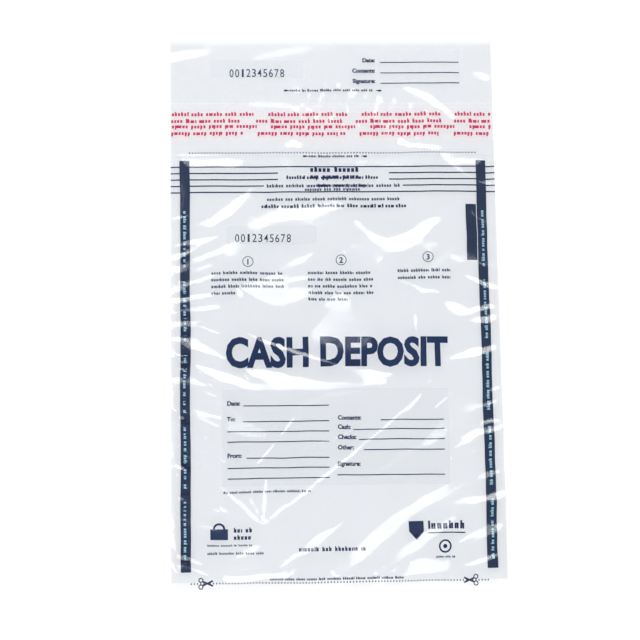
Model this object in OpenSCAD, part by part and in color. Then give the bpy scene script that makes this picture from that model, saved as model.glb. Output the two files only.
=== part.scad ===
// Clear film deposit bag with a fold-over adhesive flap and a tear-off receipt.
// The bag lies on its back: X is its width, +Y runs to the receipt end, Z is up.
// The origin is under the middle of the whole bag, on the surface that it lies on.
// Distances named *_from_bottom are measured along Y from the bag's bottom edge.

/* [Bag] */
// Width over the side welds
bag_w = 228.6; // [180:1:320]
// Length from the bottom edge to the fold line
pouch_l = 304.8; // [280:1:400]
// Length of the flap, from the fold line to the perforation
flap_l = 34.8; // [30:0.5:60]
// Length of the tear-off receipt, past the perforation
receipt_l = 45.2; // [36:0.5:80]
// Thickness of the film
film_t = 0.1; // [0.06:0.01:0.2]
// Gap between the two plies where they lie flat on each other
ply_gap = 0.1; // [0.05:0.01:0.2]
// Height of the slack front ply over the back ply at the middle of the pouch
crown_h = 12; // [7:0.5:30]

/* [Welds] */
// Width of each side weld
side_weld_w = 3; // [1.5:0.1:5]
// Height of the bottom weld
bottom_weld_h = 4.6; // [2:0.1:8]
// How far below the fold line the back ply ends
lip_drop = 2.6; // [1:0.1:6]

/* [Closure] */
// Distance from the fold line to the release liner
liner_from_fold = 9.4; // [4:0.1:12]
// Height of the release liner
liner_h = 24.4; // [20:0.1:25]
// Height of the adhesive under the liner
adhesive_h = 19; // [12:0.1:19.5]
// How far the adhesive stays in from each side edge
adhesive_inset = 2; // [0.5:0.1:6]
// Width of the slit that the perforation cuts
perforation_gap = 0.4; // [0.2:0.05:0.8]
// Distance from one film tie to the next along the perforation
tie_pitch = 4; // [3:0.1:8]
// Width of each film tie
tie_w = 1; // [0.5:0.1:2]

/* [Print] */
// Thickness of a printed or coated layer
ink_t = 0.03; // [0.02:0.01:0.05]
// Width of a security border
border_w = 6.4; // [4:0.1:10]
// Distance from the side edge to a security border
border_inset = 6.4; // [4:0.1:10]
// Lowest point of the security borders
border_from_bottom = 11.5; // [8:0.5:20]
// Distance from the fold line down to the top of the security borders
border_below_fold = 6.8; // [5:0.1:12]
// Number of tamper lines
tamper_count = 5; // [3:1:6]
// Distance from one tamper line to the next
tamper_pitch = 4.6; // [3:0.1:5]
// Thickness of each tamper line's stroke
tamper_stroke = 0.5; // [0.3:0.1:1]
// Distance from the fold line down to the first tamper line
tamper_below_fold = 11.4; // [9:0.1:12]
// Distance from one dot to the next on the dotted lines
dot_pitch = 2; // [1.5:0.1:4]
// Length of a dot on the dotted lines
dot_l = 0.8; // [0.5:0.1:1.2]

/* [Hidden] */

film_blue = [0.88, 0.91, 0.95, 0.45];
navy = [0.13, 0.15, 0.34];
patch_grey = [0.80, 0.82, 0.84, 0.8];

bag_l = pouch_l + flap_l + receipt_l;
side_x = bag_w / 2;
bottom_y = -bag_l / 2;
fold_y = bottom_y + pouch_l;
perforation_y = fold_y + flap_l;
top_y = bag_l / 2;
pouch_bottom_y = bottom_y + bottom_weld_h;
lip_y = fold_y - lip_drop;

// The film heights where the bag is flat: back ply, front ply, then ink on the front ply
front_z = film_t + ply_gap;
ink_z = front_z + film_t;
// Clearance between two pieces that move apart
clear = 0.05;

border_y0 = bottom_y + border_from_bottom;
border_y1 = fold_y - border_below_fold;
border_out_x = side_x - border_inset;
border_in_x = border_out_x - border_w;
liner_y = fold_y + liner_from_fold;
liner_t = front_z - 0.12;
adhesive_t = 0.1;

// Print areas as [left x, low y, right x, high y], with y from the bag's bottom edge
body_serial_area = [-75, 237.6, -12.5, 250.4];
write_on_area = [-79.4, 69.5, 76.6, 135.5];
receipt_serial_area = [-86, 358.5, -20.3, 370.9];
receipt_write_on_area = [32.8, 353.3, 91.5, 378.4];
cut_line_from_bottom = 5.2;
dotted_half_w = 102;

tamper_ys = [for (i = [0:tamper_count - 1]) fold_y - tamper_below_fold - i * tamper_pitch];

// Height of the front ply over its flat place: a pillow between the welds and the mouth
function across(x) = pow(max(0, cos(90 * min(1, abs(x) / (side_x - side_weld_w)))), 0.8);
function along(y) =
    pow(max(0, sin(180 * max(0, min(1, (y - pouch_bottom_y) / (lip_y - pouch_bottom_y))))), 0.7);
function crown(x, y) = crown_h * across(x) * along(y);

// A sorted list without repeats
function sorted(v) =
    len(v) < 2 ? v :
    let (m = v[floor(len(v) / 2)])
    concat(sorted([for (a = v) if (a < m - 0.001) a]), [m],
           sorted([for (a = v) if (a > m + 0.001) a]));
function within(v, low, high) = [for (a = v) if (a > low - 0.001 && a < high + 0.001) a];
function steps(low, high, n) = [for (i = [0:n]) low + (high - low) * i / n];

// Grid lines of the front ply, through the edges of all that is printed on it
x_lines = sorted(concat(
    steps(-side_x + side_weld_w, side_x - side_weld_w, 12),
    [-side_x, side_x],
    [for (s = [-1, 1]) s * border_in_x],
    [for (s = [-1, 1]) s * border_out_x],
    [body_serial_area[0], body_serial_area[2], write_on_area[0], write_on_area[2]]));
y_lines = sorted(concat(
    steps(pouch_bottom_y + clear, lip_y, 14),
    [fold_y - clear, border_y0, border_y1],
    [for (y = tamper_ys) y - tamper_stroke / 2],
    [for (y = tamper_ys) y + tamper_stroke / 2],
    [for (i = [1, 3]) bottom_y + body_serial_area[i]],
    [for (i = [1, 3]) bottom_y + write_on_area[i]]));

// A closed layer of thickness t that follows the front ply, over the grid lines xs and ys
module draped_layer(xs, ys, z, t) {
    nx = len(xs);
    ny = len(ys);
    n = nx * ny;
    low = [for (y = ys) for (x = xs) [x, y, z + crown(x, y)]];
    high = [for (p = low) [p[0], p[1], p[2] + t]];
    quads = [for (j = [0:ny - 2]) for (i = [0:nx - 2]) j * nx + i];
    rim = concat([for (i = [0:nx - 1]) i],
                 [for (j = [1:ny - 1]) j * nx + nx - 1],
                 [for (i = [nx - 2:-1:0]) (ny - 1) * nx + i],
                 [for (j = [ny - 2:-1:1]) j * nx]);
    m = len(rim);
    polyhedron(
        points = concat(low, high),
        faces = concat(
            [for (q = quads) [q, q + 1, q + nx + 1]],
            [for (q = quads) [q, q + nx + 1, q + nx]],
            [for (q = quads) [n + q, n + q + nx + 1, n + q + 1]],
            [for (q = quads) [n + q, n + q + nx, n + q + nx + 1]],
            [for (k = [0:m - 1]) [rim[k], n + rim[k], n + rim[(k + 1) % m]]],
            [for (k = [0:m - 1]) [rim[k], n + rim[(k + 1) % m], rim[(k + 1) % m]]]),
        convexity = 4);
}

// A printed layer on the front ply between two corners
module print_on_front(x0, y0, x1, y1) {
    draped_layer(within(x_lines, x0, x1), within(y_lines, y0, y1), ink_z, ink_t);
}

// A flat layer between two corners
module flat_layer(x0, y0, x1, y1, z, t) {
    translate([x0, y0, z]) cube([x1 - x0, y1 - y0, t]);
}

module print_area_on_front(area) {
    print_on_front(area[0], bottom_y + area[1], area[2], bottom_y + area[3]);
}

module print_area_on_receipt(area) {
    flat_layer(area[0], bottom_y + area[1], area[2], bottom_y + area[3], ink_z, ink_t);
}

module dotted_line(y, z) {
    count = floor(dotted_half_w / dot_pitch);
    for (i = [-count:count]) {
        flat_layer(i * dot_pitch - dot_l / 2, y - 0.2, i * dot_pitch + dot_l / 2, y + 0.2, z, ink_t);
    }
}

module side_weld(side) {
    edge_x = side < 0 ? -side_x : side_x - side_weld_w;
    color(film_blue)
        flat_layer(edge_x, pouch_bottom_y + clear, edge_x + side_weld_w, lip_y, 0, front_z);
}

module front_border(side) {
    low_x = side < 0 ? -border_out_x : border_in_x;
    color(navy) print_on_front(low_x, border_y0, low_x + border_w, border_y1);
}

module back_border(side) {
    low_x = side < 0 ? -border_out_x : border_in_x;
    color(navy) flat_layer(low_x, border_y0, low_x + border_w, border_y1, film_t, ink_t);
}

module back_panel() {
    inner_x = side_x - side_weld_w - clear;
    color(film_blue) union() {
        flat_layer(-inner_x, bottom_y, inner_x, lip_y, 0, film_t);
        flat_layer(-side_x, bottom_y, side_x, pouch_bottom_y, 0, film_t);
    }
}

module bottom_weld() {
    color(film_blue)
        flat_layer(-side_x, bottom_y, side_x, pouch_bottom_y, film_t, ply_gap + film_t);
}

module left_back_border() { back_border(-1); }

module right_back_border() { back_border(1); }

module front_panel() {
    color(film_blue) draped_layer(x_lines, y_lines, front_z, film_t);
}

module left_side_weld() { side_weld(-1); }

module right_side_weld() { side_weld(1); }

module left_front_border() { front_border(-1); }

module right_front_border() { front_border(1); }

// The lines stop at the borders, which are printed over them
module tamper_lines() {
    spans = [[-side_x, -border_out_x], [-border_in_x, border_in_x], [border_out_x, side_x]];
    color(navy) for (y = tamper_ys) for (span = spans) {
        print_on_front(span[0], y - tamper_stroke / 2, span[1], y + tamper_stroke / 2);
    }
}

module body_serial_patch() { color(patch_grey) print_area_on_front(body_serial_area); }

module write_on_panel() { color(patch_grey) print_area_on_front(write_on_area); }

module fold_line_print() { color(navy) dotted_line(fold_y - 0.8, ink_z); }

module cut_line_print() {
    color(navy) dotted_line(bottom_y + min(cut_line_from_bottom, bottom_weld_h - 0.8), ink_z);
}

module sealing_flap() {
    color(film_blue)
        flat_layer(-side_x, fold_y + clear, side_x, perforation_y, front_z, film_t);
}

module adhesive_strip() {
    low_y = liner_y + (liner_h - adhesive_h) / 2;
    color([0.86, 0.87, 0.84, 0.6])
        flat_layer(-side_x + adhesive_inset, low_y, side_x - adhesive_inset, low_y + adhesive_h,
                   front_z - adhesive_t, adhesive_t);
}

module release_liner() {
    color([0.93, 0.90, 0.93, 0.8])
        flat_layer(-side_x, liner_y, side_x, liner_y + liner_h, 0, liner_t);
}

module perforation_ties() {
    count = floor((bag_w / 2 - tie_w) / tie_pitch);
    color(film_blue) for (i = [-count:count]) {
        flat_layer(i * tie_pitch - tie_w / 2, perforation_y, i * tie_pitch + tie_w / 2,
                   perforation_y + perforation_gap, front_z, film_t);
    }
}

module tear_off_receipt() {
    color(film_blue)
        flat_layer(-side_x, perforation_y + perforation_gap + clear, side_x, top_y, front_z, film_t);
}

module receipt_serial_patch() { color(patch_grey) print_area_on_receipt(receipt_serial_area); }

module receipt_write_on_panel() { color(patch_grey) print_area_on_receipt(receipt_write_on_area); }

back_panel();
bottom_weld();
left_back_border();
right_back_border();
front_panel();
left_side_weld();
right_side_weld();
left_front_border();
right_front_border();
tamper_lines();
body_serial_patch();
write_on_panel();
fold_line_print();
cut_line_print();
sealing_flap();
adhesive_strip();
release_liner();
perforation_ties();
tear_off_receipt();
receipt_serial_patch();
receipt_write_on_panel();
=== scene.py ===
"""Looks of the clear deposit bag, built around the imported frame.

Lengths in this file are in millimetres until a mesh is made, and MM turns them into metres.
Places along the bag are given from its bottom edge, and from_bottom() turns them into the frame's Y.
"""

import math

import bmesh
import bpy
import numpy as np
from mathutils import Matrix, Vector, noise


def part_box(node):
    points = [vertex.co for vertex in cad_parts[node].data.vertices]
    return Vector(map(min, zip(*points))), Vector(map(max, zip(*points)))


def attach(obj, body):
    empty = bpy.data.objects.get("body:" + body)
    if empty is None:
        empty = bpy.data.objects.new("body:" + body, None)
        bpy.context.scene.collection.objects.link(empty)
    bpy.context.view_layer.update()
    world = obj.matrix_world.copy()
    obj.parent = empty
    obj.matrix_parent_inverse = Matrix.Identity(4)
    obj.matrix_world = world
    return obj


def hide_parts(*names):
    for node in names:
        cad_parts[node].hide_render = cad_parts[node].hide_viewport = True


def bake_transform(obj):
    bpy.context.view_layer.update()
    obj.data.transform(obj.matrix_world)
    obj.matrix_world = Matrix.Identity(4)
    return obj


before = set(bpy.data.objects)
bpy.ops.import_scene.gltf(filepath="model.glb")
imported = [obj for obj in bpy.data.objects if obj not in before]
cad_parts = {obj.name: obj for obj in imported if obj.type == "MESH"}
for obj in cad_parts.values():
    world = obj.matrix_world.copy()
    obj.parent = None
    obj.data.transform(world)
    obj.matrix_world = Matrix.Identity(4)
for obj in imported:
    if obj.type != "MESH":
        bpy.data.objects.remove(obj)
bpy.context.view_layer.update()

MM = 0.001


def node_mm(name):
    low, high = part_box(name)
    return np.array(low) / MM, np.array(high) / MM


# ---------------------------------------------------------------- layout, from the frame

SIDE_X = node_mm("sealing_flap")[1][0]
BOTTOM_Y = node_mm("back_panel")[0][1]
LIP_Y = node_mm("back_panel")[1][1]
POUCH_Y = node_mm("bottom_weld")[1][1]
FOLD_Y = node_mm("front_panel")[1][1]
PERFORATION_Y = node_mm("sealing_flap")[1][1]
RECEIPT_Y, TOP_Y = (node_mm("tear_off_receipt")[i][1] for i in (0, 1))
LINER_Y, LINER_TOP_Y = (node_mm("release_liner")[i][1] for i in (0, 1))
GLUE_LOW, GLUE_HIGH = node_mm("adhesive_strip")
WELD_W = node_mm("right_side_weld")[1][0] - node_mm("right_side_weld")[0][0]
INNER_X = SIDE_X - WELD_W

FLAT_FRONT = 0.3  # height of the front film where the bag lies flat
FLAT_BACK = 0.06
FLOOR_Z = -1.5  # leaves room for the flap when it is folded under the rear ply
GRID, FOLD_GRID = 1.0, 0.5  # spacing of the film's mesh, and where it folds
BEND_Y, BEND_TOP_Y = FOLD_Y - 0.6, FOLD_Y + 2.4  # the film's bend at the fold line lies between these

# Layers that show through the front film lie just under it, and the rear ply's print lies on its film
COAT_OFFSET, WELD_OFFSET, MARKS_OFFSET, PRINT_OFFSET = -0.04, -0.05, -0.05, -0.07
GLUE_OFFSET, LINER_PRINT_OFFSET, LINER_OFFSET = -0.08, -0.12, -0.14
BACK_PRINT_OFFSET = 0.04


def from_bottom(distance):
    return BOTTOM_Y + distance


# ---------------------------------------------------------------- height maps


def lines_between(a, b, step=GRID):
    return np.linspace(a, b, max(2, round((b - a) / step) + 1))


def smooth(t):
    t = np.clip(t, 0, 1)
    return t * t * (3 - 2 * t)


def cubic_weights(t):
    """Catmull-Rom weights of the four neighbours of a place t between the middle two."""
    return (
        -0.5 * t + t**2 - 0.5 * t**3,
        1 - 2.5 * t**2 + 1.5 * t**3,
        0.5 * t + 2 * t**2 - 1.5 * t**3,
        -0.5 * t**2 + 0.5 * t**3,
    )


class HeightMap:
    """Heights on an even grid over x0..x1 and y0..y1, read anywhere with a smooth cubic."""

    def __init__(self, z, x0, x1, y0, y1):
        self.z, self.x0, self.y0 = z, x0, y0
        self.dx = (x1 - x0) / (z.shape[1] - 1)
        self.dy = (y1 - y0) / (z.shape[0] - 1)

    def at(self, x, y):
        rows, columns = self.z.shape
        u = np.clip((np.asarray(x) - self.x0) / self.dx, 0, columns - 1.001)
        v = np.clip((np.asarray(y) - self.y0) / self.dy, 0, rows - 1.001)
        i, j = np.floor(u).astype(int), np.floor(v).astype(int)
        total = 0
        for b, wy in enumerate(cubic_weights(v - j)):
            row = np.clip(j + b - 1, 0, rows - 1)
            for a, wx in enumerate(cubic_weights(u - i)):
                total = total + wx * wy * self.z[row, np.clip(i + a - 1, 0, columns - 1)]
        return total


MARGIN = 14.0  # the maps run on past the film, so that its free edges bend freely
WEB_XS = lines_between(-SIDE_X - MARGIN, SIDE_X + MARGIN)
WEB_YS = lines_between(BOTTOM_Y - MARGIN, TOP_Y + MARGIN)
WEB_X, WEB_Y = np.meshgrid(WEB_XS, WEB_YS)


def web_map(z):
    return HeightMap(z, WEB_XS[0], WEB_XS[-1], WEB_YS[0], WEB_YS[-1])


def noise_map(size, seed, step=4.0):
    """Smooth noise over the web, about -1 to 1, with features of that size."""
    xs = np.arange(WEB_XS[0], WEB_XS[-1] + step, step)
    ys = np.arange(WEB_YS[0], WEB_YS[-1] + step, step)
    z = [[noise.noise(Vector((x / size, y / size, seed))) for x in xs] for y in ys]
    return HeightMap(np.array(z), xs[0], xs[-1], ys[0], ys[-1]).at(WEB_X, WEB_Y)


CREASE_REACH = 60.0  # a crease bends the film about this far to each side


def from_slopes(gx, gy):
    """The heights, zero around the web's edge, whose slopes come nearest to gx and gy, where the film
    also wants to lie flat away from its creases."""
    rows, columns = gx.shape
    dx, dy = WEB_XS[1] - WEB_XS[0], WEB_YS[1] - WEB_YS[0]
    load = np.gradient(gx, dx, axis=1) + np.gradient(gy, dy, axis=0)

    def sine_transform(a):
        odd = np.concatenate([np.zeros((1, a.shape[1])), a, np.zeros((1, a.shape[1])), -a[::-1]])
        return -np.fft.fft(odd, axis=0).imag[1 : a.shape[0] + 1]

    inner = load[1:-1, 1:-1]
    spectrum = sine_transform(sine_transform(inner).T).T
    m, n = inner.shape
    ky = (2 * np.cos(np.pi * np.arange(1, m + 1) / (m + 1)) - 2) / dy**2
    kx = (2 * np.cos(np.pi * np.arange(1, n + 1) / (n + 1)) - 2) / dx**2
    spectrum = spectrum / (ky[:, None] + kx[None, :] - 1 / CREASE_REACH**2)
    inner = sine_transform(sine_transform(spectrum).T).T / (4 * (m + 1) * (n + 1))
    heights = np.zeros((rows, columns))
    heights[1:-1, 1:-1] = inner
    return heights


def strayed(places, seed):
    """Places moved a little from where they are, coarsely and finely, so that outlines wander."""
    return places + 1.5 * noise_map(9, seed, 2.0) + 0.5 * noise_map(4, seed + 2, 2.0)


STRAY_X, STRAY_Y = strayed(WEB_X, 51.0), strayed(WEB_Y, 52.0)
FACET_EDGE = 1.3  # width over which a narrow facet's edge rounds off
FADE_HALF = 0.4  # a stroke fades where its half width is less than this


def stroke_cover(points, widths):
    """How far each place of the web lies inside a tapering stroke along points, from 0 to 1.
    The stroke's outline strays a little, and a wide stroke has a softer edge than a narrow one."""
    cover = np.zeros_like(WEB_X)
    for (x0, y0), (x1, y1), w0, w1 in zip(points, points[1:], widths, widths[1:]):
        length = math.hypot(x1 - x0, y1 - y0)
        t = ((STRAY_X - x0) * (x1 - x0) + (STRAY_Y - y0) * (y1 - y0)) / length**2
        t = np.clip(t, 0, 1)
        away = np.hypot(STRAY_X - x0 - t * (x1 - x0), STRAY_Y - y0 - t * (y1 - y0))
        half = (w0 + t * (w1 - w0)) / 2
        edge = FACET_EDGE + 0.5 * half
        inside = smooth((half - away) / edge + 0.5)
        cover = np.maximum(cover, inside * smooth(half / FADE_HALF))
    return cover


# Facets that face a light: (tilt in degrees, direction of the downhill in degrees, places, widths).
# Directions are counted from +X: 90 faces the bank beyond the receipt end, and 160 the box at the left.
FRONT_FACETS = [
    # the upper pouch: a flame, a boomerang, and the pyramid over the title
    (12, 120, [(-87, 61), (-79, 70), (-69, 79), (-58, 88)], [7, 13, 10, 1]),
    (10, 100, [(-58, 58), (-40, 66), (-19, 67), (-2, 71)], [1, 4, 4, 1]),
    (12, 65, [(17, 62), (29, 50), (42, 44)], [1, 7, 9]),
    (12, 110, [(42, 44), (55, 50), (70, 62)], [9, 8, 4]),
    (10, 90, [(1, 14), (3, 0), (5, -15)], [1, 18, 38]),
    (9, 80, [(-62, 12), (-45, 19), (-20, 21)], [2, 8, 3]),
    (8, 120, [(-38, 27), (-24, 33), (-15, 39)], [2, 6, 1]),
    (8, 20, [(34, 32), (34, 10), (37, -14)], [4, 7, 5]),
    (8, 150, [(-34, 33), (-35, 1)], [3, 3]),
    (6, 0, [(4, 69), (4, 42)], [1.2, 1.2]),
    # the band under the title
    (11, 70, [(-61, -19), (-33, -30), (4, -42), (38, -48)], [1, 2, 2.5, 1]),
    (11, 75, [(-98, -40), (-79, -48), (-62, -53)], [3, 8, 2]),
    (12, 95, [(-62, -43), (-41, -50), (-12, -54)], [2, 9, 2]),
    (10, 80, [(2, -42), (19, -49), (33, -53)], [2, 8, 2]),
    (9, 100, [(-6, -53), (24, -54)], [2, 3]),
    # puckers that run in from the left weld
    (12, 75, [(-110, -21), (-98, -25), (-76, -36)], [5, 7, 1]),
    (10, 80, [(-108, -10), (-97, -12), (-80, -18)], [2, 4, 1]),
    (11, 100, [(-110, 27), (-99, 33), (-83, 40), (-68, 47)], [5, 7, 3, 1]),
    (9, 110, [(-107, 22), (-99, 25), (-85, 33)], [2, 3, 1]),
    (12, 78, [(-110, -49), (-100, -50), (-88, -54)], [5, 7, 1]),
    (10, 70, [(-108, -71), (-99, -74), (-80, -83)], [2, 6, 1]),
    (10, 60, [(-108, -88), (-99, -92), (-80, -108)], [2, 4, 1]),
    (9, 80, [(-109, 4), (-99, 3), (-88, 0)], [2, 4, 1]),
    # breaks in the glaze over the borders
    (12, 80, [(95, -3), (103, 0), (109, 1)], [2, 5, 3]),
    (12, 98, [(96, -59), (103, -57), (110, -56)], [1, 5, 3]),
    (12, 95, [(98, -82), (104, -80), (110, -79)], [1, 4, 3]),
    (12, 90, [(98, -155), (104, -153), (110, -152)], [2, 5, 3]),
    (11, 90, [(-109, -122), (-103, -123), (-97, -125)], [3, 5, 1]),
    (11, 85, [(-109, -160), (-103, -161), (-98, -163)], [3, 5, 1]),
    # the long V of the lower left
    (10.5, 62, [(-106, -100), (-77, -127), (-52, -149)], [1.5, 2.4, 2.6]),
    (10.5, 125, [(-52, -149), (-17, -123), (19, -94), (55, -65), (64, -52)], [3, 2.6, 1.6, 1.6, 0.8]),
    (10, 160, [(64, -52), (62, -40), (56, -19), (54, 2)], [1.5, 1.5, 1.8, 1]),
    (9, 140, [(-56, -109), (-39, -89), (-24, -68)], [0.5, 0.8, 0.4]),
    (6.5, 160, [(-64, -112), (-58, -134), (-53, -147)], [0.6, 1.8, 1]),
    (6.5, 160, [(-50, -116), (-51, -134), (-52, -147)], [0.5, 1.5, 1]),
    (10, 70, [(-104, -130), (-92, -142), (-78, -152)], [4, 5, 1]),
    (9, 60, [(-104, -116), (-94, -124), (-82, -138)], [1, 2.5, 1]),
    (9, 100, [(-96, -168), (-78, -178), (-56, -180)], [2, 6, 2]),
    # broad diagonal bands of the lower right
    (10, 120, [(-2, -182), (27, -158), (53, -136), (94, -108)], [7, 11, 9, 6]),
    (10, 120, [(26, -182), (48, -166), (76, -148)], [5, 7, 4]),
    (9, 120, [(56, -140), (76, -128), (97, -119)], [2, 5, 3]),
    (11, 110, [(77, -101), (90, -92), (99, -86)], [2, 6, 3]),
    (10, 70, [(77, 5), (86, -2), (95, -5)], [1, 7, 3]),
    (9, 60, [(96, 40), (103, 30)], [2, 3]),
    (9, 110, [(88, -166), (98, -158), (104, -148)], [2, 5, 2]),
    (9.5, 115, [(-40, -178), (-14, -160), (6, -146)], [3, 6, 2]),
    (8.5, 120, [(-72, -172), (-50, -162), (-32, -152)], [2, 4, 1]),
    (8, 110, [(-30, -100), (-4, -92), (16, -84)], [1, 2.5, 1]),
    (8, 120, [(66, -72), (80, -60), (92, -48)], [2, 5, 2]),
    (8, 100, [(-98, 52), (-88, 56), (-74, 58)], [2, 4, 1]),
    (8, 75, [(44, 18), (62, 12), (78, 10)], [1, 4, 1]),
    # around the tamper lines
    (11, 60, [(79, 110), (88, 102), (98, 94)], [2, 5, 1]),
    (9, 60, [(22, 104), (28, 96), (36, 88)], [1, 3, 1]),
    (9, 110, [(-104, 86), (-92, 90), (-72, 91)], [2, 3, 1]),
    # the flap and the receipt
    (9, 110, [(-113, 181), (-103, 183), (-92, 184)], [4, 3, 1]),
    (6, 100, [(-54, 180), (-34, 185), (-16, 188)], [1, 4, 1]),
    (9, 60, [(55, 158), (70, 151), (80, 143), (86, 135)], [2, 3, 3, 1]),
    (9, 90, [(-33, 115), (-28, 119), (-24, 115)], [1, 4, 1]),
    (9, 70, [(47, 118), (60, 116), (78, 115)], [3, 2, 1.5]),
    (8, 90, [(104, 170), (110, 165)], [1, 3]),
    (6, 100, [(-57, 147), (-13, 144)], [3, 3]),
]
# Broad areas that tilt less, and catch only the dim rim of the bank, written in the same way
FRONT_SWELLS = [
    (8, 90, [(30, 42), (24, 12), (18, -10)], [24, 20, 14]),
    (8.4, 105, [(10, -168), (50, -150), (90, -124)], [20, 34, 20]),
    (8.2, 80, [(-94, -150), (-70, -168), (-40, -176)], [10, 18, 8]),
    (8, 110, [(60, -96), (84, -76), (98, -62)], [6, 14, 8]),
    (8, 90, [(-66, -55), (-20, -56), (30, -54)], [4, 8, 3]),
    (8, 90, [(-60, 14), (-40, 8), (-20, 10)], [8, 16, 6]),
    (8, 110, [(-70, -82), (-52, -88)], [12, 8]),
]
# Fine upright wrinkles across the flap, as (x, low y, high y), which face left and right by turns
FLAP_WRINKLES = [
    (-23, 138, 155), (-19, 141, 152), (-14, 139, 157), (-9, 143, 153), (-4, 136, 160), (1, 140, 158),
    (5, 131, 160), (10, 138, 152), (17, 136, 155), (21, 133, 150), (25, 140, 154), (30, 128, 150),
    (35, 132, 147), (40, 126, 150), (46, 122, 146), (52, 130, 144), (58, 124, 141), (64, 128, 140),
    (70, 122, 136),
]
WRINKLE_TILT, WRINKLE_LEAN, WRINKLE_WIDTHS = 13, 1.5, [1.3, 0.8]
BACK_FACETS = [
    (10, 60, [(-40, 74), (-30, 66), (-12, 60)], [1, 6, 1]),
    (10, 120, [(60, 20), (74, 34), (84, 44)], [1, 6, 2]),
    (9, 110, [(-30, -70), (-6, -60), (20, -58)], [2, 6, 1]),
    (10, 70, [(-90, -60), (-70, -72), (-58, -84)], [1, 5, 1]),
    (9, 130, [(20, -120), (40, -104), (70, -92)], [2, 5, 1]),
    (9, 60, [(-20, -20), (-4, -28), (12, -40)], [1, 5, 1]),
    (9, 100, [(-84, -150), (-60, -142), (-44, -146)], [1, 5, 1]),
    (8, 80, [(60, -30), (80, -38), (98, -52)], [1, 5, 1]),
]

PUCKER_FAN, FAN_Y, FAN_HALF = 8, -10, 30  # puckers turn away from this place along the weld
PUCKER_INSET = 4


def weld_puckers(side, low_y, high_y, pitch, seed):
    """A comb of short puckers that run in from one side weld, each facing the bank."""
    rng = np.random.default_rng(seed)
    facets = []
    y = low_y
    while y < high_y:
        reach = rng.uniform(8, 30)
        rise = rng.uniform(-4, 4) + PUCKER_FAN * np.clip((y - FAN_Y) / FAN_HALF, -1, 1)
        start = side * (INNER_X - rng.uniform(0, PUCKER_INSET))
        end = side * (INNER_X - PUCKER_INSET - reach)
        middle = ((start + end) / 2, y + rise * 0.4 + rng.uniform(-1, 1))
        facets.append((
            rng.uniform(7, 14), 90 - side * math.degrees(math.atan2(rise, reach)),
            [(start, y), middle, (end, y + rise)], [rng.uniform(2, 5), rng.uniform(2, 6), 0.6],
        ))
        y += pitch * rng.uniform(0.5, 1.5)
    return facets


TILT_PER_MM = -0.024  # a facet nearer the bank tilts less to catch it
LEAST_FACING = 0.6  # a facet turned well away from the bank isn't steepened more than this allows
CREASE_ROUNDS = 12


def creases(facets, base):
    """Heights to add to the base so that each facet gets its tilt and the film between them gives."""
    dx, dy = WEB_XS[1] - WEB_XS[0], WEB_YS[1] - WEB_YS[0]
    base_gy, base_gx = np.gradient(base, dy, dx)
    gx, gy, free = np.zeros_like(WEB_X), np.zeros_like(WEB_X), np.ones_like(WEB_X)
    for tilt, direction, points, widths in facets:
        cover = stroke_cover(points, widths)
        across, along = math.cos(math.radians(direction)), math.sin(math.radians(direction))
        slope = np.tan(np.radians(tilt + TILT_PER_MM * WEB_Y)) / max(LEAST_FACING, along)
        gx += cover * (-slope * across - base_gx - gx)
        gy += cover * (-slope * along - base_gy - gy)
        free *= 1 - cover
    heights = np.zeros_like(WEB_X)
    for _ in range(CREASE_ROUNDS):
        now_gy, now_gx = np.gradient(heights, dy, dx)
        heights = from_slopes(gx + free * now_gx, gy + free * now_gy)
    return heights


def blurred(z, size):
    """A height map with everything finer than that size smoothed away."""
    fx = np.fft.fftfreq(z.shape[1] * 2, WEB_XS[1] - WEB_XS[0])
    fy = np.fft.fftfreq(z.shape[0] * 2, WEB_YS[1] - WEB_YS[0])
    mirrored = np.block([[z, z[:, ::-1]], [z[::-1], z[::-1, ::-1]]])
    damping = np.exp(-2 * (math.pi * size) ** 2 * (fx[None, :] ** 2 + fy[:, None] ** 2))
    return np.fft.ifft2(np.fft.fft2(mirrored) * damping).real[: z.shape[0], : z.shape[1]]


def crumple(size, depth, seed):
    """Small flat-sided crumples: folded noise of two sizes."""
    a, b = noise_map(size, seed), noise_map(size * 0.45, seed + 11)
    return depth * (0.5 - np.abs(a)) + 0.35 * depth * (0.4 - np.abs(b))


def edge_distance(low_y, high_y, half_width):
    """How far each place of the web lies inside a rectangle's edge."""
    return np.minimum.reduce([half_width - np.abs(WEB_X), WEB_Y - low_y, high_y - WEB_Y])


# ---------------------------------------------------------------- the front ply's slack, by cloth

CLOTH_STEP = 3.0
CLOTH_SCALE = 10.0  # the solver works on a bag ten times as large, where its settings are stable
CLOTH_FILL, CLOTH_LET_OUT, CLOTH_FRAMES = 25, 40, 70  # the air goes in, comes out, the film settles
CLOTH_EASE = 12  # the film starts this far from the welds at its full height


def slack_noise(xs, ys, size, seed):
    return np.array([[noise.noise(Vector((x / size, y / size, seed))) for x in xs] for y in ys])


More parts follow.
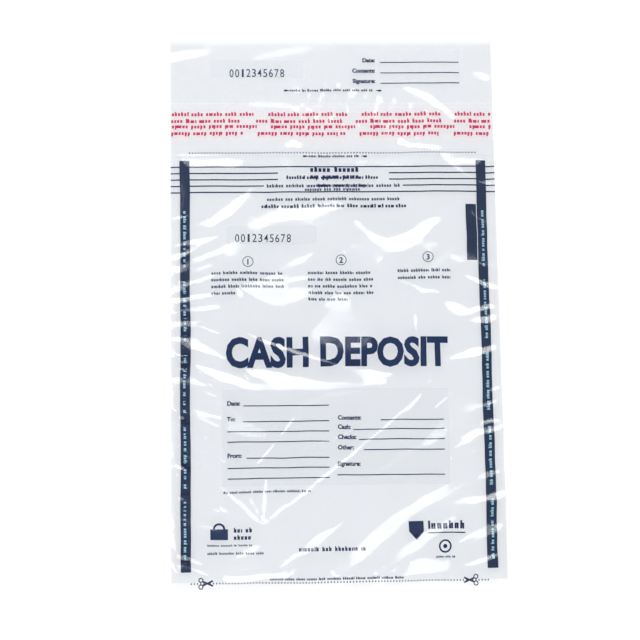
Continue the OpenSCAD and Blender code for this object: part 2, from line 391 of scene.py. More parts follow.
def simulated_pouch():
    """Heights of the front ply over the pouch: film with a little slack, welded round its edge, is
    blown up and let down again, so that it keeps puckers along the welds and a few long creases."""
    xs = np.linspace(-INNER_X, INNER_X, round(2 * INNER_X / CLOTH_STEP) + 1)
    ys = np.linspace(POUCH_Y, LIP_Y, round((LIP_Y - POUCH_Y) / CLOTH_STEP) + 1)
    x, y = np.meshgrid(xs, ys)
    edge = np.minimum.reduce([x - xs[0], xs[-1] - x, y - ys[0], ys[-1] - y])
    start = 1 + 0.6 * slack_noise(xs, ys, 40, 1.0) + 0.25 * slack_noise(xs, ys, 14, 7.0)
    start = start * np.clip(edge / CLOTH_EASE, 0, 1)
    scale = MM * CLOTH_SCALE
    mesh = grid_mesh("cloth", x * scale, y * scale, start * scale)
    piece = bpy.data.objects.new("cloth", mesh)
    bpy.context.scene.collection.objects.link(piece)

    welded = piece.vertex_groups.new(name="welded")
    welded.add([int(i) for i in np.nonzero(edge.ravel() < 0.01)[0]], 1.0, "REPLACE")
    slack = piece.vertex_groups.new(name="slack")
    share = np.clip(0.5 + 1.2 * slack_noise(xs, ys, 50, 3.0).ravel(), 0, 1)
    for i, w in enumerate(share):
        slack.add([i], float(w), "REPLACE")

    modifier = piece.modifiers.new("cloth", "CLOTH")
    s = modifier.settings
    s.quality, s.mass, s.air_damping = 6, 0.05, 3
    s.tension_stiffness = s.compression_stiffness = 80
    s.shear_stiffness, s.bending_stiffness, s.bending_damping = 40, 0.4, 0.5
    s.vertex_group_mass, s.pin_stiffness = "welded", 1
    s.vertex_group_shrink, s.shrink_min, s.shrink_max = "slack", -0.004, -0.016
    s.use_pressure = True
    for at_frame, pressure, weight in ((1, 2, 0), (CLOTH_FILL, 2, 0), (CLOTH_LET_OUT, 0, 1)):
        s.uniform_pressure_force = pressure
        s.keyframe_insert("uniform_pressure_force", frame=at_frame)
        s.effector_weights.gravity = weight
        s.effector_weights.keyframe_insert("gravity", frame=at_frame)
    modifier.point_cache.frame_end = CLOTH_FRAMES
    scene = bpy.context.scene
    scene.frame_end = CLOTH_FRAMES
    for k in range(1, CLOTH_FRAMES + 1):
        scene.frame_set(k)
    shaped = piece.evaluated_get(bpy.context.evaluated_depsgraph_get())
    co = np.zeros(x.size * 3)
    shaped.data.vertices.foreach_get("co", co)
    heights = np.maximum(co.reshape(-1, 3)[:, 2].reshape(x.shape) / scale, 0)
    scene.frame_set(1)
    bpy.data.objects.remove(piece)
    return HeightMap(heights, xs[0], xs[-1], ys[0], ys[-1])


# ---------------------------------------------------------------- meshes


def grid_mesh(name, x, y, z):
    rows, columns = x.shape
    co = np.stack([x, y, z], axis=-1).reshape(-1, 3)
    i = np.arange(rows * columns).reshape(rows, columns)
    quads = np.stack([i[:-1, :-1], i[:-1, 1:], i[1:, 1:], i[1:, :-1]], axis=-1).reshape(-1, 4)
    mesh = bpy.data.meshes.new(name)
    mesh.vertices.add(len(co))
    mesh.vertices.foreach_set("co", co.ravel())
    mesh.loops.add(quads.size)
    mesh.loops.foreach_set("vertex_index", quads.ravel())
    mesh.polygons.add(len(quads))
    mesh.polygons.foreach_set("loop_start", np.arange(0, quads.size, 4))
    mesh.polygons.foreach_set("use_smooth", np.ones(len(quads), bool))
    mesh.update(calc_edges=True)
    return mesh


def new_piece(name, mesh, material):
    mesh.materials.append(material)
    piece = bpy.data.objects.new(name, mesh)
    bpy.context.scene.collection.objects.link(piece)
    return piece


def film_sheet(name, surface, x0, x1, y0, y1, material, step=GRID):
    """A sheet of film that follows a surface, over one rectangle."""
    x, y = np.meshgrid(lines_between(x0, x1, step), lines_between(y0, y1, step))
    sheet = new_piece(name, grid_mesh(name, x * MM, y * MM, surface(x, y) * MM), material)
    sheet.visible_shadow = material is FILM  # the others cast none, so a folded stack stays clear
    return sheet


# ---------------------------------------------------------------- print


PRINT_SWAY = [
    web_map(0.7 * noise_map(48, seed) + 0.25 * noise_map(15, seed + 3)) for seed in (61.0, 71.0)
]


class Print:
    """Flat shapes in millimetres, which become one thin printed layer on a surface.
    The layer sways a little, as print does on film that has been drawn out of shape."""

    CUT = 2.0  # large shapes are cut this small, so that they follow the film
    CAPITAL = 0.729  # height of a capital of the built-in font, in its own units
    STILL = 6  # print this close to the film's side and top edges sways less, and not past them
    MARK_PITCH, MARK_WIDTH = 0.72, 0.72  # of small print, as shares of its height and of its pitch
    TALL_SHARE, LOW = 0.3, 0.7  # how many of its marks are tall, and how high the others are

    def __init__(self):
        self.points, self.faces = [], []

    def add(self, points, faces):
        first = len(self.points)
        self.points += [tuple(p) for p in points]
        self.faces += [[first + i for i in f] for f in faces]

    def bar(self, x0, y0, x1, y1):
        xs = lines_between(x0, x1, self.CUT)
        ys = lines_between(y0, y1, self.CUT)
        n = len(xs)
        self.add(
            [(x, y) for y in ys for x in xs],
            [
                (j * n + i, j * n + i + 1, j * n + n + i + 1, j * n + n + i)
                for j in range(len(ys) - 1)
                for i in range(n - 1)
            ],
        )

    def line(self, x0, y0, x1, y1, width):
        """A straight stroke at any angle."""
        count = max(1, round(math.hypot(x1 - x0, y1 - y0) / self.CUT))
        nx, ny = (y0 - y1), (x1 - x0)
        size = math.hypot(nx, ny) * 2 / width
        nx, ny = nx / size, ny / size
        ends = [(x0 + (x1 - x0) * k / count, y0 + (y1 - y0) * k / count) for k in range(count + 1)]
        sides = [(x - nx, y - ny) for x, y in ends] + [(x + nx, y + ny) for x, y in ends]
        m = count + 1
        self.add(sides, [(k, k + 1, m + k + 1, m + k) for k in range(count)])

    def ring(self, x, y, outer, inner, start=0.0, end=360.0, parts=28):
        """A ring, or a part of one, between two angles in degrees."""
        angles = [math.radians(start + (end - start) * k / parts) for k in range(parts + 1)]
        rim = [(x + r * math.cos(a), y + r * math.sin(a)) for r in (inner, outer) for a in angles]
        m = parts + 1
        self.add(rim, [(k, m + k, m + k + 1, k + 1) for k in range(parts)])

    def polygon(self, points):
        self.add(points, [range(len(points))])

    def disc(self, x, y, radius, parts=16):
        angles = [2 * math.pi * k / parts for k in range(parts)]
        self.polygon([(x + radius * math.cos(a), y + radius * math.sin(a)) for a in angles])

    def words(self, text, x, y, height, width=None, align="LEFT", bold=0.0):
        """Plain lettering in the built-in font. height is that of a capital, and width stretches it."""
        curve = bpy.data.curves.new("words", "FONT")
        curve.body, curve.offset, curve.resolution_u = text, bold, 3
        letters = bpy.data.objects.new("words", curve)
        bpy.context.scene.collection.objects.link(letters)
        bpy.context.view_layer.update()
        shaped = letters.evaluated_get(bpy.context.evaluated_depsgraph_get())
        mesh = bpy.data.meshes.new_from_object(shaped)
        co = np.array([v.co[:2] for v in mesh.vertices])
        faces = [tuple(p.vertices) for p in mesh.polygons]
        bpy.data.objects.remove(letters)
        bpy.data.curves.remove(curve)
        bpy.data.meshes.remove(mesh)
        size = height / self.CAPITAL
        span = co[:, 0].max() - co[:, 0].min()
        stretch = (width / (span * size)) if width else 1.0
        px = (co[:, 0] - co[:, 0].min()) * size * stretch
        full = span * size * stretch
        px = px - {"LEFT": 0, "CENTER": full / 2, "RIGHT": full}[align]
        self.add(zip(px + x, co[:, 1] * size + y), faces)

    def greek(self, x0, x1, y, height, seed, words=(3, 9), up=1, weight=0.25):
        """A line of marks that stand for small print: stems and bars in word-like groups, no letters."""
        rng = np.random.default_rng(seed)
        pitch, stem = height * self.MARK_PITCH, height * weight
        w, low_top = pitch * self.MARK_WIDTH, height * self.LOW
        x = x0
        while x < x1 - pitch:
            for _ in range(int(rng.integers(*words))):
                if x > x1 - pitch:
                    break
                top = height if rng.random() < self.TALL_SHARE else low_top
                kind = int(rng.integers(0, 5))
                strokes = (
                    (0, 0, stem, top),
                    (w - stem, 0, w, low_top),
                    (0, low_top - stem, w, low_top),
                    (0, 0, w, stem),
                )
                for a, b, c, d in strokes[: (2, 3, 4, 1, 3)[kind]]:
                    low, high = sorted((y + up * b, y + up * d))
                    corners = [(x + a, low), (x + c, low), (x + c, high), (x + a, high)]
                    self.add(corners, [(0, 1, 2, 3)])
                x += pitch * (0.5 if kind == 3 else 1)
            x += pitch * 0.8

    def digits(self, text, x0, x1, y, height):
        """Figures on an even pitch, as a numbering machine prints them."""
        pitch = (x1 - x0) / len(text)
        for k, figure in enumerate(text):
            width = pitch * (0.35 if figure == "1" else 0.72)
            self.words(figure, x0 + (k + 0.5) * pitch, y, height, width, align="CENTER", bold=0.005)

    def scissors(self, x, y, way):
        """A pair of scissors that points along way, 1 or -1, centred on x, y."""
        for up in (1, -1):
            self.ring(x - way * 3.4, y + up * 2.2, 1.7, 1.0, parts=16)
            self.line(x - way * 2.2, y + up * 1.4, x + way * 4.6, y - up * 1.7, 1.1)

    def hand(self, x, y, way):
        """A small pointing mark."""
        self.bar(x - 1.2, y, x + 1.2, y + 1.3)
        self.line(x, y + 1.0, x + way * 2.6, y + 0.6, 0.6)

    def piece(self, name, surface, offset, material, cut=False):
        """The printed layer, offset above a surface, as one piece. cut divides its large faces."""
        bm = bmesh.new()
        points = [bm.verts.new((x, y, 0)) for x, y in self.points]
        for f in self.faces:
            if len(set(f)) > 2:
                bm.faces.new([points[i] for i in f])
        if cut:
            for axis in (0, 1):
                values = [p[axis] for p in self.points]
                first = math.ceil(min(values) / self.CUT) * self.CUT
                for place in np.arange(first, max(values), self.CUT):
                    co, no = [0, 0, 0], [0, 0, 0]
                    co[axis], no[axis] = place, 1
                    geometry = bm.verts[:] + bm.edges[:] + bm.faces[:]
                    bmesh.ops.bisect_plane(bm, geom=geometry, dist=1e-5, plane_co=co, plane_no=no)
        mesh = bpy.data.meshes.new(name)
        bm.to_mesh(mesh)
        bm.free()
        co = np.zeros(len(mesh.vertices) * 3)
        mesh.vertices.foreach_get("co", co)
        co = co.reshape(-1, 3)
        x, y = co[:, 0].copy(), co[:, 1].copy()
        reach = smooth((SIDE_X - np.abs(x)) / self.STILL) * smooth((TOP_Y - y) / self.STILL)
        co[:, 0] = x + reach * PRINT_SWAY[0].at(x, y)
        co[:, 1] = y + reach * PRINT_SWAY[1].at(x, y)
        co[:, 2] = surface(co[:, 0], co[:, 1]) + offset
        mesh.vertices.foreach_set("co", (co * MM).ravel())
        mesh.update()
        layer = new_piece(name, mesh, material)
        layer.visible_shadow = False  # ink on clear film hardly shades the table under the bag
        return layer


# ---------------------------------------------------------------- materials


def new_material(name):
    material = bpy.data.materials.new(name)
    material.use_nodes = True
    nodes = material.node_tree.nodes
    return material, nodes, material.node_tree.links, nodes["Principled BSDF"]


def add_noise(nodes, links, scale, detail=3.0):
    place = nodes.new("ShaderNodeTexCoord")
    texture = nodes.new("ShaderNodeTexNoise")
    texture.inputs["Scale"].default_value = scale
    texture.inputs["Detail"].default_value = detail
    links.new(place.outputs["Object"], texture.inputs["Vector"])
    return texture.outputs["Fac"]


def two_tone(nodes, links, fac, low, high):
    ramp = nodes.new("ShaderNodeValToRGB")
    for element, position, colour in zip(ramp.color_ramp.elements, (0.35, 0.65), (low, high)):
        element.position, element.color = position, (*colour, 1)
    links.new(fac, ramp.inputs["Fac"])
    return ramp.outputs["Color"]


def bumped(nodes, links, fac, strength, distance):
    bump = nodes.new("ShaderNodeBump")
    bump.inputs["Strength"].default_value = strength
    bump.inputs["Distance"].default_value = distance
    links.new(fac, bump.inputs["Height"])
    return bump.outputs["Normal"]


TINT_SCALE, GLOSS_SCALE, FINE_SCALE = 28.0, 60.0, 420.0  # of the film's noises, per metre


def film_material(name, low, high, alpha, roughness, ior):
    """Clear film: mostly seen through, faintly tinted, and glossy on every fold. Only its share alpha
    shows, glints too, so a real film's glints need a high ior here."""
    material, nodes, links, shader = new_material(name)
    tint = add_noise(nodes, links, TINT_SCALE)
    links.new(two_tone(nodes, links, tint, low, high), shader.inputs["Base Color"])
    fine = add_noise(nodes, links, FINE_SCALE, 4.0)
    links.new(bumped(nodes, links, fine, 0.25, 0.00005), shader.inputs["Normal"])
    spread = nodes.new("ShaderNodeMapRange")
    spread.inputs["To Min"].default_value = roughness * 0.7
    spread.inputs["To Max"].default_value = roughness * 1.4
    links.new(add_noise(nodes, links, GLOSS_SCALE), spread.inputs["Value"])
    links.new(spread.outputs["Result"], shader.inputs["Roughness"])
    shader.inputs["Alpha"].default_value = alpha
    shader.inputs["IOR"].default_value = ior
    return material


INK_SPECULAR = 0.05  # the film covers the ink, so it has almost no gloss of its own


def ink_material(name, low, high):
    """Flexo ink: a solid colour with the faint mottle of a printed layer."""
    material, nodes, links, shader = new_material(name)
    mottle = add_noise(nodes, links, 900.0, 2.0)
    links.new(two_tone(nodes, links, mottle, low, high), shader.inputs["Base Color"])
    shader.inputs["Roughness"].default_value = 0.5
    shader.inputs["Specular IOR Level"].default_value = INK_SPECULAR
    return material


# name, darker tint, lighter tint, alpha, roughness, ior
FILM = film_material("clear_film", (0.01, 0.13, 0.30), (0.04, 0.17, 0.38), 0.15, 0.10, 4.2)
BACK_FILM = film_material("back_film", (0.40, 0.46, 0.60), (0.46, 0.52, 0.66), 0.03, 0.09, 8.0)
WELD = film_material("welded_film", (0.60, 0.62, 0.68), (0.70, 0.72, 0.78), 0.06, 0.30, 8.0)
LINER = film_material("liner_film", (0.86, 0.84, 0.86), (0.92, 0.90, 0.92), 0.06, 0.20, 3.0)
GLUE = film_material("hot_melt", (0.80, 0.82, 0.80), (0.86, 0.88, 0.86), 0.03, 0.25, 3.0)
COAT = film_material("patch_coat", (0.34, 0.42, 0.52), (0.42, 0.50, 0.60), 0.055, 0.6, 1.5)
THIN_COAT = film_material("thin_coat", (0.50, 0.54, 0.60), (0.58, 0.62, 0.68), 0.03, 0.6, 1.5)
NAVY = ink_material("navy_ink", (0.008, 0.011, 0.050), (0.013, 0.018, 0.075))
CHARCOAL = ink_material("border_ink", (0.016, 0.018, 0.040), (0.024, 0.026, 0.060))
CRIMSON = ink_material("liner_ink", (0.56, 0.008, 0.06), (0.68, 0.014, 0.10))
PALE = ink_material("knocked_out_print", (0.34, 0.60, 0.74), (0.46, 0.72, 0.84))


# ---------------------------------------------------------------- the surfaces

pouch = simulated_pouch()
in_pouch = edge_distance(POUCH_Y, LIP_Y, INNER_X)
pillow = np.where(in_pouch > 0, pouch.at(WEB_X, WEB_Y), 0)

flap_facets = [
    (WRINKLE_TILT, 180 * (k % 2), [(x, low), (x + WRINKLE_LEAN, high)], WRINKLE_WIDTHS)
    for k, (x, low, high) in enumerate(FLAP_WRINKLES)
]
puckers = (
    weld_puckers(-1, from_bottom(12), from_bottom(300), 7.5, 3)
    + weld_puckers(1, from_bottom(20), from_bottom(296), 26, 4)
)
POUCH_LIFT, FLAP_LIFT, BACK_LIFT = 4.5, 0.5, 0.3
LEFT_RISE, RIGHT_RISE, BOTTOM_RISE = 26, 40, 18  # the pouch reaches its height this far from the welds
MOUTH_TAPER = 95  # and it comes down over this length to the mouth
FLAP_RISE_START, FLAP_RISE = 20, 30  # the flap's own height starts below the mouth and grows over this
BACK_EASE, CRUMPLE_EASE, GAP_EASE = 12, 14, 6  # how far from the welds these are at their full size
FINE_SLACK, BROAD_SLACK = 2, 12  # of the cloth's shape, what lies between these sizes is used
PLY_GAP = 0.15  # the plies stay this far apart inside the pouch
SETTLE = 0.3  # heights within this of the flat are rounded off


def settled(z):
    """Heights with everything below the flat pressed up to it, without a kink."""
    return 0.5 * (z + np.sqrt(z * z + SETTLE**2))


back_crumple = crumple(38, 0.8, 31.0)
back_heights = settled(back_crumple + creases(BACK_FACETS, back_crumple) + BACK_LIFT)
back_heights *= smooth(in_pouch / BACK_EASE)

to_mouth = smooth((LIP_Y - WEB_Y) / MOUTH_TAPER)
rise = smooth((INNER_X + WEB_X) / LEFT_RISE) * smooth((INNER_X - WEB_X) / RIGHT_RISE)
rise *= smooth((WEB_Y - POUCH_Y) / BOTTOM_RISE)
front_base = POUCH_LIFT * rise * to_mouth
front_base += (blurred(pillow, FINE_SLACK) - blurred(pillow, BROAD_SLACK)) * to_mouth
front_base += FLAP_LIFT * smooth((WEB_Y - LIP_Y + FLAP_RISE_START) / FLAP_RISE)
front_base += crumple(46, 1.0, 5.0) * smooth(in_pouch / CRUMPLE_EASE) * to_mouth
front_base += crumple(46, 0.1, 5.0) * (1 - to_mouth)
front_facets = FRONT_SWELLS + puckers + FRONT_FACETS + flap_facets
front_heights = settled(front_base + creases(front_facets, front_base))
above = front_heights - back_heights - PLY_GAP * smooth(in_pouch / GAP_EASE)
front_heights = np.where(in_pouch > 0, front_heights - above + settled(above), front_heights)
front_map, back_map = web_map(front_heights), web_map(back_heights)


def front_surface(x, y):
    return FLAT_FRONT + front_map.at(x, y)


def back_surface(x, y):
    return FLAT_BACK + back_map.at(x, y)


def under_front(offset):
    """The surface of a layer that follows the front film at this offset."""
    return lambda x, y: front_surface(x, y) + offset


# ---------------------------------------------------------------- film pieces


def full_width(name, y0, y1, material, offset=0, step=GRID):
    """A sheet right across the bag that follows the front film."""
    return film_sheet(name, under_front(offset), -SIDE_X, SIDE_X, y0, y1, material, step)


def place(piece, body, node, slot):
    """The piece rides on a body and stands for a CAD node. slot is not used."""
    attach(piece, body)
    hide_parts(node)


front_film = full_width("front_film", POUCH_Y, BEND_Y, FILM)
place(front_film, "front_ply", "front_panel", "clear_film")

fold_film = full_width("fold_film", BEND_Y, BEND_TOP_Y, FILM, step=FOLD_GRID)
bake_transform(fold_film)

flap_film = full_width("flap_film", BEND_TOP_Y, PERFORATION_Y, FILM)
place(flap_film, "flap", "sealing_flap", "clear_film")

receipt_film = full_width("receipt_film", RECEIPT_Y, TOP_Y, FILM)
place(receipt_film, "receipt", "tear_off_receipt", "clear_film")


def blend_rear(piece):
    """The piece's placement is baked into its mesh."""
    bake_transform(piece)


SIDES = ((-1, "left"), (1, "right"))
for side, side_name in SIDES:
    x0, x1 = sorted((0, side * INNER_X))
    half = film_sheet(f"back_film_{side_name}", back_surface, x0, x1, BOTTOM_Y, LIP_Y, BACK_FILM)
    blend_rear(half)
    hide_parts("back_panel")

    weld = film_sheet(
        f"side_weld_{side_name}", under_front(WELD_OFFSET),
        *sorted((side * INNER_X, side * SIDE_X)), POUCH_Y, LIP_Y, WELD,
    )
    place(weld, "front_ply", f"{side_name}_side_weld", "welded_film")

bottom_band = full_width("bottom_weld_band", BOTTOM_Y, POUCH_Y, WELD)
place(bottom_band, "back_ply", "bottom_weld", "welded_film")

glue = film_sheet(
    "adhesive_film", under_front(GLUE_OFFSET),
    GLUE_LOW[0], GLUE_HIGH[0], GLUE_LOW[1], GLUE_HIGH[1], GLUE,
)
place(glue, "flap", "adhesive_strip", "hot_melt")

liner = full_width("liner_film", LINER_Y, LINER_TOP_Y, LINER, LINER_OFFSET)
place(liner, "liner", "release_liner", "liner_film")

ties = Print()
TIE_PITCH, TIE_W, TIES_HALF = 4.0, 1.0, 28
for k in range(-TIES_HALF, TIES_HALF + 1):
    ties.bar(k * TIE_PITCH - TIE_W / 2, PERFORATION_Y, k * TIE_PITCH + TIE_W / 2, RECEIPT_Y)
tie_film = ties.piece("perforation_tie_film", front_surface, 0, FILM)
place(tie_film, "flap", "perforation_ties", "clear_film")


# ---------------------------------------------------------------- printed layers


def printed(
    shapes, name, body="front_ply", material=NAVY, node=None,
    offset=PRINT_OFFSET, cut=False,
):
    """A printed layer of the front film. Where it has a CAD node, it stands for that node."""
    piece = shapes.piece(name, front_surface, offset, material, cut)
    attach(piece, body)
    if node:
        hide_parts(node)


def filled(node):
    """A node's rectangle as a flat shape."""
    low, high = node_mm(node)
    area = Print()
    area.bar(low[0], low[1], high[0], high[1])
    return area


def coated(name, node, body, material):
    printed(filled(node), name, body, material, node, COAT_OFFSET)


coated("serial_patch_coat", "body_serial_patch", "front_ply", COAT)
coated("write_on_coat", "write_on_panel", "front_ply", COAT)
coated("receipt_serial_coat", "receipt_serial_patch", "receipt", COAT)
coated("receipt_write_on_coat", "receipt_write_on_panel", "receipt", THIN_COAT)

MARKS_LENGTH, MARKS_PITCH, MARKS_HEIGHT = 43, 51, 2.3  # the groups of marks along a border


def front_border(side, side_name):
    """The dark strip along one side of the front ply, with pale marks along its middle."""
    node = f"{side_name}_front_border"
    printed(filled(node), f"{side_name}_border_strip", material=CHARCOAL, node=node)
    low, high = node_mm(node)
    row, marks = Print(), Print()
    for start in np.arange(low[1] + 6, high[1] - 40, MARKS_PITCH):
        seed = int(start) + 400 + side
        row.greek(start, start + MARKS_LENGTH, 0, MARKS_HEIGHT, seed, words=(2, 5))
    middle = (low[0] + high[0]) / 2
    spin = -side  # the marks run up on one side and down on the other
    marks.points = [(middle + spin * (py - 1.0), px) for px, py in row.points]
    marks.faces = row.faces
    printed(marks, f"{side_name}_border_marks", material=PALE, offset=MARKS_OFFSET)


def back_border(side, side_name):
    """The same strip on the rear ply, a little further in."""
    low, high = node_mm(f"{side_name}_back_border")
    strip = Print()
    shift = 0.5 * side
    strip.bar(low[0] - shift, low[1], high[0] - shift, high[1])
    if side > 0:  # a tuck in the rear ply draws its strip in, and it peeks out beside the front one
        strip.bar(low[0] - 8.5, from_bottom(226), low[0] - 1, from_bottom(266))
    piece = strip.piece(f"{side_name}_back_strip", back_surface, BACK_PRINT_OFFSET, CHARCOAL)
    blend_rear(piece)
    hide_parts(f"{side_name}_back_border")


for side, side_name in SIDES:
    front_border(side, side_name)
    back_border(side, side_name)

LINE_COUNT, LINE_STROKE, PRINTED_STROKE = 5, 0.5, 0.95
GAP_HALVES = (0, 39, 39, 49, 0)  # the middle lines break for the heading between them


def tamper_lines():
    low, high = node_mm("tamper_lines")
    p = Print()
    ys = np.linspace(high[1] - LINE_STROKE / 2, low[1] + LINE_STROKE / 2, LINE_COUNT)
    for y, gap in zip(ys, GAP_HALVES):
        for x0, x1 in ((-SIDE_X, -gap), (gap, SIDE_X)):
            p.bar(x0, y - PRINTED_STROKE / 2, x1, y + PRINTED_STROKE / 2)
    return p


printed(tamper_lines(), "tamper_line_print", node="tamper_lines")


def body_lettering():
    p = Print()
    # heading between the tamper lines, printed on both plies, so it reads doubled
    p.greek(-16, 18, from_bottom(289.6), 4.0, 1, weight=0.42)
    p.greek(-33, 33, from_bottom(284.4), 2.6, 2, weight=0.42)
    p.greek(-47, 49, from_bottom(278.4), 2.6, 3)
    p.greek(-47, 48, from_bottom(268.6), 2.5, 4)
    p.greek(-51, 52, from_bottom(263.4), 2.7, 5, weight=0.42)
    p.greek(-17, 19, from_bottom(300.4), 1.9, 6, weight=0.3)
    p.hand(-20, from_bottom(300.4), 1)
    p.hand(22.5, from_bottom(300.4), -1)
    # the three numbered steps
    for k, (x, y) in enumerate(((-60.6, 225), (4.4, 226), (65.3, 227.6))):
        p.ring(x, from_bottom(y), 3.8, 3.3)
        p.words(str(k + 1), x, from_bottom(y) - 2.0, 4.0, align="CENTER", bold=0.03)
    steps = (  # (x0, x1, the full lines' places, and x0, x1 and the place of the last one)
        (-86, -35, (216, 211.2, 206.4), -86, -68, 201.6),
        (-19, 27, (216, 211.2, 206.4, 201.6), -19, 10, 197),
        (44, 84, (217,), 44, 82, 212),
    )
    for x0, x1, ys, last_x0, last_x1, last_y in steps:
        for y in ys:
            p.greek(x0, x1, from_bottom(y), 2.4, int(y * 10 + x0))
        p.greek(last_x0, last_x1, from_bottom(last_y), 2.4, int(last_y * 10))
    return p


printed(body_lettering(), "instruction_print")

title = Print()
title.words("CASH DEPOSIT", -77, from_bottom(151.5), 20, 154, bold=0.04)
printed(title, "title_print", cut=True)


RULE = 0.75  # thickness of the lines to write on


def form():
    p = Print()
    left = (  # (place from the bottom edge, label, where its rule starts)
        (123.6, "Date:", -64.8), (112.8, "To:", -65), (105.8, None, -75.8), (98.8, None, -75.8),
        (87.8, "From:", -63), (81.2, None, -76), (74.2, None, -76),
    )
    right = (
        (113.2, "Contents:", 29.6), (106.8, "Cash:", 10.4), (99.9, "Checks:", 14.4),
        (92.8, "Other:", 17.8), (75.8, None, -1),
    )
    for rows, label_x, x1 in ((left, -76, -6.4), (right, -0.5, 73)):
        for y, label, x0 in rows:
            p.bar(x0, from_bottom(y), x1, from_bottom(y) + RULE)
            if label:
                p.words(label, label_x, from_bottom(y) + 0.8, 3.0, bold=0.05)
    p.words("Signature:", -0.8, from_bottom(82.4), 3.0, bold=0.05)
    p.greek(-79, -18.5, from_bottom(64.8), 1.8, 77, weight=0.3)
    p.digits("0012345678", -70, -30, from_bottom(238.9), 6.0)
    return p


printed(form(), "form_print")


def foot():
    p = Print()
    # a plain padlock at the left, with lines of small print
    x, y = -82, from_bottom(33)
    p.bar(x - 6, y, x + 6, y + 7.5)
    p.ring(x, y + 7.5, 4.2, 2.8, 0, 180, 14)
    p.greek(-72, -58, from_bottom(38), 3.4, 81)
    p.greek(-72, -58, from_bottom(33), 3.4, 82)
    p.greek(-90, -59, from_bottom(28.4), 1.6, 83)
    p.greek(-90, -51, from_bottom(22.8), 1.9, 84)
    p.greek(-28, 19, from_bottom(24.4), 3.2, 85)
    # a plain shield at the right, and under it a plain ring with a disc in it
    x, y = 52, from_bottom(38)
    p.polygon([(x - 5, y + 6), (x + 5, y + 6), (x + 5, y - 1), (x, y - 7), (x - 5, y - 1)])
    p.greek(60, 87, from_bottom(38.4), 5.6, 86)
    p.bar(60, from_bottom(35.4), 86, from_bottom(36.2))
    x, y = 71.5, from_bottom(26.4)
    p.ring(x, y, 4.6, 3.4)
    p.disc(x, y, 1.5)
    p.greek(65, 79, from_bottom(18.6), 1.6, 87)
    return p


printed(foot(), "foot_print")

DOT_PITCH, DOT_W, DOT_H, DOTS_HALF = 2.1, 0.8, 1.1, 48


def dotted(y):
    """A dotted line right across the bag."""
    p = Print()
    for k in range(-DOTS_HALF, DOTS_HALF + 1):
        p.bar(k * DOT_PITCH - DOT_W / 2, y - DOT_H / 2, k * DOT_PITCH + DOT_W / 2, y + DOT_H / 2)
    return p


printed(dotted(FOLD_Y - 1.1), "fold_line_dots", node="fold_line_print")
cut_line = dotted(from_bottom(3.8))
cut_line.scissors(-91, from_bottom(3.9), 1)
cut_line.scissors(89, from_bottom(3.9), -1)
printed(cut_line, "cut_line_dots", "back_ply", node="cut_line_print")
cut_text = Print()
cut_text.greek(-47.7, 45.3, from_bottom(5.4), 1.8, 91, weight=0.3)
printed(cut_text, "cut_line_text")

# the rear ply's heading, which shows through turned round
rear_text = Print()
rear_text.greek(-16, 18, from_bottom(287.2), 3.6, 11, up=-1, weight=0.3)
rear_text.greek(-12, 24, from_bottom(280.6), 2.6, 12, up=-1)
rear_text.greek(-20, 21, from_bottom(277.6), 2.4, 13, up=-1)
rear_piece = rear_text.piece("rear_warning_print", back_surface, BACK_PRINT_OFFSET, NAVY)
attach(rear_piece, "back_ply")


def receipt_print():
    p = Print()
    for y, label in ((370.2, "Date:"), (362.4, "Contents:"), (354.8, "Signature:")):
        p.bar(34.6, from_bottom(y) - RULE, 91, from_bottom(y))
        p.words(label, 31, from_bottom(y), 3.0, align="RIGHT", bold=0.05)
    p.greek(-30, 30, from_bottom(348.4), 1.9, 90, weight=0.3)
    p.hand(-33, from_bottom(348.4), 1)
    p.hand(34, from_bottom(348.4), -1)
    p.digits("0012345678", -73, -33, from_bottom(358.9), 6.2)
    return p


printed(receipt_print(), "receipt_print", "receipt")


def liner_print():
    """Four rows of marks, the lower two upside down, as the liner's print is set."""
    p = Print()
    for k, (y, up) in enumerate(((330.4, 1), (325.4, 1), (323.6, -1), (318.7, -1))):
        rng = np.random.default_rng(60 + k)
        x = -SIDE_X + 1 - 9 * (k % 2)
        while x < SIDE_X - 4:
            end = min(x + rng.uniform(58, 64), SIDE_X - 0.5)
            p.greek(max(x, -SIDE_X + 0.5), end, from_bottom(y), 3.0, 64 + k, (4, 8), up, 0.36)
            x = end + 8
    return p


printed(liner_print(), "liner_marks", "liner", CRIMSON, offset=LINER_PRINT_OFFSET)

# ---------------------------------------------------------------- stage

CAMERA_DISTANCE, CAMERA_LENS = 1.2, 97.1
CAMERA_TILT, CAMERA_TURN, CAMERA_ROLL = math.radians(9.64), math.radians(-17.1), math.radians(-0.92)
CAMERA_AIM = Vector((-0.011, -0.0083, 0))
FLOOR_HALF = 9.0  # metres
WORLD_STRENGTH = 0.19


def add_camera():
    data = bpy.data.cameras.new("camera")
    data.lens, data.sensor_width = CAMERA_LENS, 36
    camera = bpy.data.objects.new("camera", data)
    bpy.context.scene.collection.objects.link(camera)
    away = Vector((
        math.sin(CAMERA_TILT) * math.sin(CAMERA_TURN),
        -math.sin(CAMERA_TILT) * math.cos(CAMERA_TURN),
        math.cos(CAMERA_TILT),
    ))
    right = (-away).cross(Vector((0, 1, 0))).normalized()
    up = right.cross(-away)
    right, up = (
        math.cos(CAMERA_ROLL) * right + math.sin(CAMERA_ROLL) * up,
        -math.sin(CAMERA_ROLL) * right + math.cos(CAMERA_ROLL) * up,
    )
    turn = Matrix((right, up, away)).transposed().to_4x4()
    camera.matrix_world = Matrix.Translation(CAMERA_AIM + CAMERA_DISTANCE * away) @ turn
    bpy.context.scene.camera = camera


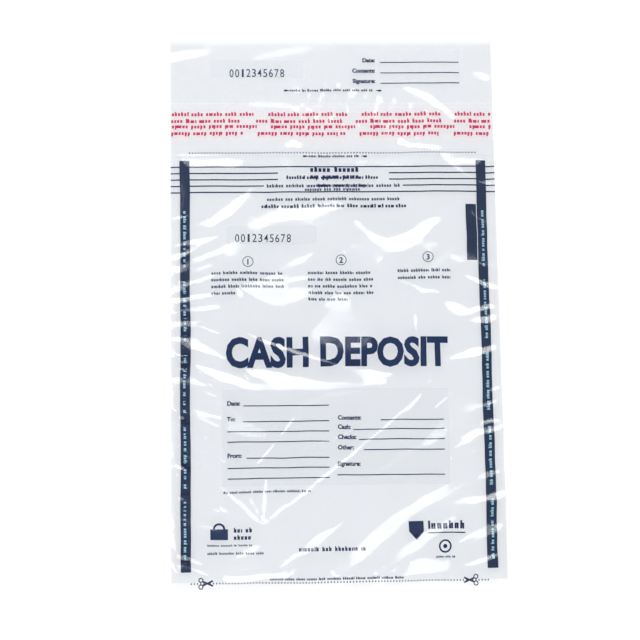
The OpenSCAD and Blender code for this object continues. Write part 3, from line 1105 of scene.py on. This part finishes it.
def add_softbox(name, azimuth, zenith, distance, width, height, radiance):
    """A softbox that faces the bag. azimuth is counted from +X towards +Y, zenith from straight up."""
    a, z = math.radians(azimuth), math.radians(zenith)
    away = Vector((math.cos(a) * math.sin(z), math.sin(a) * math.sin(z), math.cos(z)))
    data = bpy.data.lights.new(name, "AREA")
    data.shape, data.size, data.size_y = "RECTANGLE", width, height
    data.energy = radiance * math.pi * width * height
    light = bpy.data.objects.new(name, data)
    bpy.context.scene.collection.objects.link(light)
    light.location = away * distance
    light.rotation_euler = away.to_track_quat("Z", "Y").to_euler()


def add_stage():
    floor_mesh = bpy.data.meshes.new("floor")
    corners = ((-1, -1), (1, -1), (1, 1), (-1, 1))
    floor_mesh.from_pydata(
        [(i * FLOOR_HALF, j * FLOOR_HALF, FLOOR_Z * MM) for i, j in corners], [], [(0, 1, 2, 3)]
    )
    material, nodes, links, shader = new_material("floor_paper")
    grain = add_noise(nodes, links, 300.0)
    paper = two_tone(nodes, links, grain, (0.92, 0.92, 0.92), (0.94, 0.94, 0.94))
    links.new(paper, shader.inputs["Base Color"])
    shader.inputs["Roughness"].default_value = 0.9
    shader.inputs["Specular IOR Level"].default_value = 0.2
    floor = new_piece("floor", floor_mesh, material)
    # a bank of three beyond the receipt end, brightest in its middle, a box at the left, a fill in front
    add_softbox("bank_core", 90, 34, 3.06, 2.9, 0.70, 5.2)
    add_softbox("bank_panel", 90, 34, 3.15, 3.6, 1.22, 2.4)
    add_softbox("bank_rim", 90, 37, 3.23, 4.4, 1.64, 1.0)
    add_softbox("left_box", 160, 32, 3.0, 1.1, 1.2, 4.4)
    add_softbox("front_fill", -90, 60, 1.3, 1.1, 0.6, 3.3)
    world = bpy.data.worlds.new("studio")
    world.use_nodes = True
    world.node_tree.nodes["Background"].inputs["Color"].default_value = (0.96, 0.98, 1, 1)
    world.node_tree.nodes["Background"].inputs["Strength"].default_value = WORLD_STRENGTH
    bpy.context.scene.world = world
    bpy.context.scene.view_settings.view_transform = "Standard"


add_camera()
add_stage()
